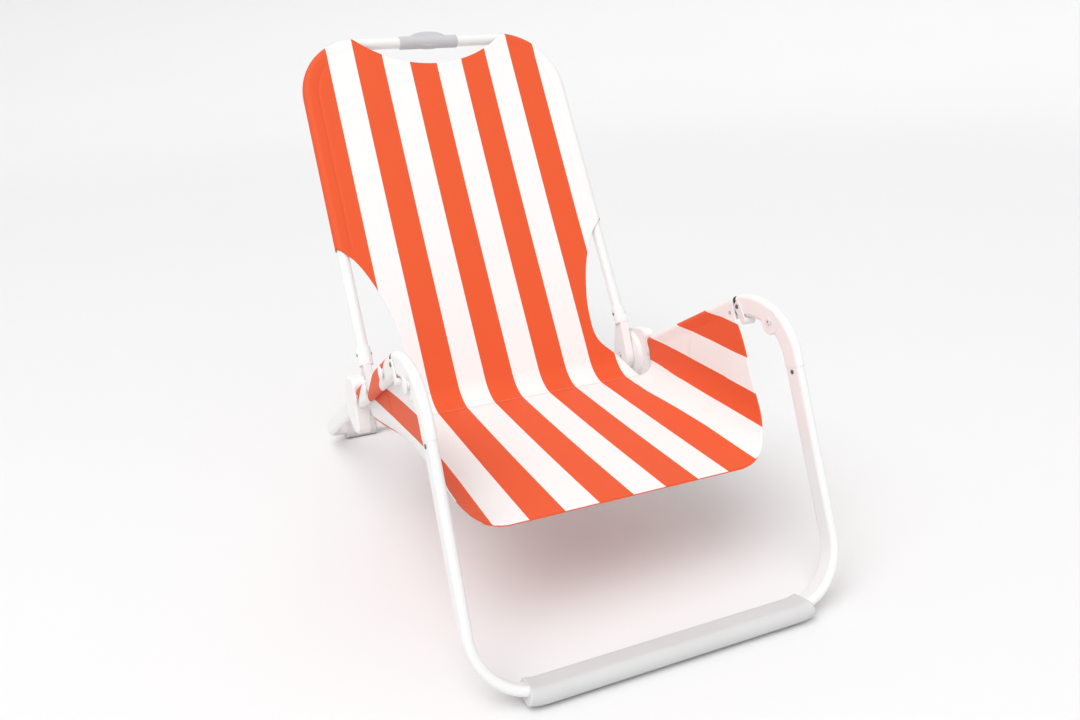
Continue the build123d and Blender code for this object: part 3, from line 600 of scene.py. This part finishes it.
def sleeve_run(side, start, steps=40, turns=22):
    """The loop of cloth round the outer half of a back tube, from its hem to the top of the corner."""
    straight = [(TUBE_X, t, 1.0, 0.0) for t in np.linspace(start, CORNER_AT[1], steps)]
    corner = []
    reach = math.acos((PEAK_X - CORNER_AT[0]) / (CORNER_R + LOOP))
    for i in range(1, turns + 1):
        a = reach * i / turns
        x = CORNER_AT[0] + CORNER_R * math.cos(a)
        corner.append((x, CORNER_AT[1] + CORNER_R * math.sin(a), math.cos(a), math.sin(a)))
    rows, uvs = [], []
    for x, t, ex, et in straight + corner:
        row, uv = [], []
        first = math.asin(OVER / LOOP)
        for k in range(0, 27):
            a = first + (math.pi - first) * min(k, 16) / 16
            out = LOOP * math.sin(a)
            n = -TUBE_BEHIND + LOOP * math.cos(a)
            if k > 16:
                s = (k - 16) / 10
                out = -SEAM_IN * s
                n = -TUBE_BEHIND - LOOP + (TUBE_BEHIND + LOOP - 1.4) * s * s * (3 - 2 * s)
            far = OVER + LOOP * (a - first) + SEAM_IN * max(k - 16, 0) / 10
            px, pt = x + ex * out, t + et * out
            row.append(on_back(side * px, pt, n))
            uv.append((back_stripe(side * (x + ex * far)), to_w(t + et * far)))
        rows.append(row)
        uvs.append(uv)
    if side < 0:
        rows, uvs = rows[::-1], uvs[::-1]
    return rows, uvs


sleeves = []
for side, label in ((1, "left"), (-1, "right")):
    rows, flat = sleeve_run(side, 337.0)
    sleeves.append(lattice(f"back_sleeve_{label}", rows, flat, CLOTH, SHEET))


# --- Edges: the front binding and the crease's welt -----------------------------------------------------
def rope(name, path, radius, material, sides=8):
    """A thin round strand along a list of points in metres."""
    rows = []
    pts = [Vector(p) for p in path]
    for i, p in enumerate(pts):
        ahead = (pts[min(i + 1, len(pts) - 1)] - pts[max(i - 1, 0)]).normalized()
        side_axis = ahead.cross(Vector((0, 0, 1)))
        side_axis = side_axis.normalized() if side_axis.length > 1e-4 else Vector((1, 0, 0))
        up_axis = side_axis.cross(ahead)
        angles = [2 * math.pi * k / sides for k in range(sides + 1)]
        rows.append([
            tuple(p + radius * (math.cos(angle) * side_axis + math.sin(angle) * up_axis)) for angle in angles
        ])
    uv = [[(k, i * 3.0) for k in range(sides + 1)] for i in range(len(rows))]
    return lattice(name, rows, uv, material)


half_front = [row[0] for row in seat_rows[:half_count - 32]]
front_path = [place(-x, u + 0.4, v - 0.9) for x, u, v in half_front[::-1]]
front_path += [place(x, u + 0.4, v - 0.9) for x, u, v in half_front[1:-1]]
floor_binding = rope("front_binding", [p for p in front_path if abs(p[0]) < 0.235], 0.0011, BINDING)

crease_path = [place(x, CREASE, 0.55) for x in np.linspace(-236, 236, 160)]
crease_welt = rope("crease_welt", crease_path, 0.0009, WELT_PAINTED_HIGHLIGHT)
for loop in crease_welt.data.loops:
    where = crease_welt.data.vertices[loop.vertex_index].co
    crease_welt.data.uv_layers["cloth"].data[loop.index].uv = (where.x, 0.0)

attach(seat_cloth, "base_frame")
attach(crease_welt, "base_frame")
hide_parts("seat_fabric")
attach(floor_binding, "base_frame")
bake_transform(back_cloth)
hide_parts("back_fabric")
for sleeve in sleeves:
    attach(sleeve, "backrest")


# --- Floor, light and camera ------------------------------------------------------------------------
ground = Nodes("floor_pale", (0.80, 0.80, 0.80), 0.85)
ground.link(ground.ramp(ground.noise(1.2, 2.0, ground.place()), (0.795, 0.795, 0.797), (0.805, 0.805, 0.807)),
            ground.shader.inputs["Base Color"])
floor_rows = []
# Flat under the chair, and rising into a backdrop all round: radius and height, in metres.
FLOOR_PROFILE = [
    (0.001, 0.0), (3.0, 0.0), (6.0, 0.0), (9.0, 0.0), (10.2, 0.2), (11.3, 0.8), (12.2, 1.7), (12.8, 2.8),
    (13.1, 4.2), (13.2, 6.0),
]
for radius, height in FLOOR_PROFILE:
    floor_rows.append([
        (radius * math.cos(2 * math.pi * k / 96), radius * math.sin(2 * math.pi * k / 96), height)
        for k in range(97)
    ])
floor_uvs = [[(float(k), float(i)) for k in range(97)] for i in range(len(floor_rows))]
floor = lattice("floor", floor_rows, floor_uvs, ground.material)

AIM = Vector((0, 0, 0.4))               # the key light points here
key = bpy.data.objects.new("key", bpy.data.lights.new("key", "AREA"))
key.data.shape = "DISK"
key.data.size = 2.6
key.data.energy = 36
key.location = (-1.8, -2.4, 3.4)
key.rotation_mode = "QUATERNION"
key.rotation_quaternion = (key.location - AIM).to_track_quat("Z", "Y")
bpy.context.scene.collection.objects.link(key)
sun = bpy.data.objects.new("sun", bpy.data.lights.new("sun", "SUN"))
sun.data.energy = 1.35
sun.data.angle = math.radians(50)
sun.rotation_mode = "QUATERNION"
sun.rotation_quaternion = Vector((-0.45, -0.35, 1.0)).to_track_quat("Z", "Y")
bpy.context.scene.collection.objects.link(sun)
world = bpy.data.worlds.new("studio")
world.use_nodes = True
world.node_tree.nodes["Background"].inputs["Color"].default_value = (1.0, 1.0, 1.0, 1)
world.node_tree.nodes["Background"].inputs["Strength"].default_value = 0.73
bpy.context.scene.world = world
bpy.context.scene.view_settings.view_transform = "Standard"

camera_data = bpy.data.cameras.new("camera")
camera_data.sensor_width = 36
camera_data.lens = 30.73
camera_data.shift_y = -0.0102
camera = bpy.data.objects.new("camera", camera_data)
bpy.context.scene.collection.objects.link(camera)
right = Vector((0.91952, -0.39060, -0.04372))
up = Vector((0.15774, 0.26487, 0.95129))
toward = Vector((-0.36000, -0.88163, 0.30517))
turned = Matrix((right, up, toward)).transposed()
camera.rotation_mode = "QUATERNION"
camera.rotation_quaternion = turned.to_quaternion()
camera.location = (-0.59114, -1.51251, 0.84306)
bpy.context.scene.camera = camera
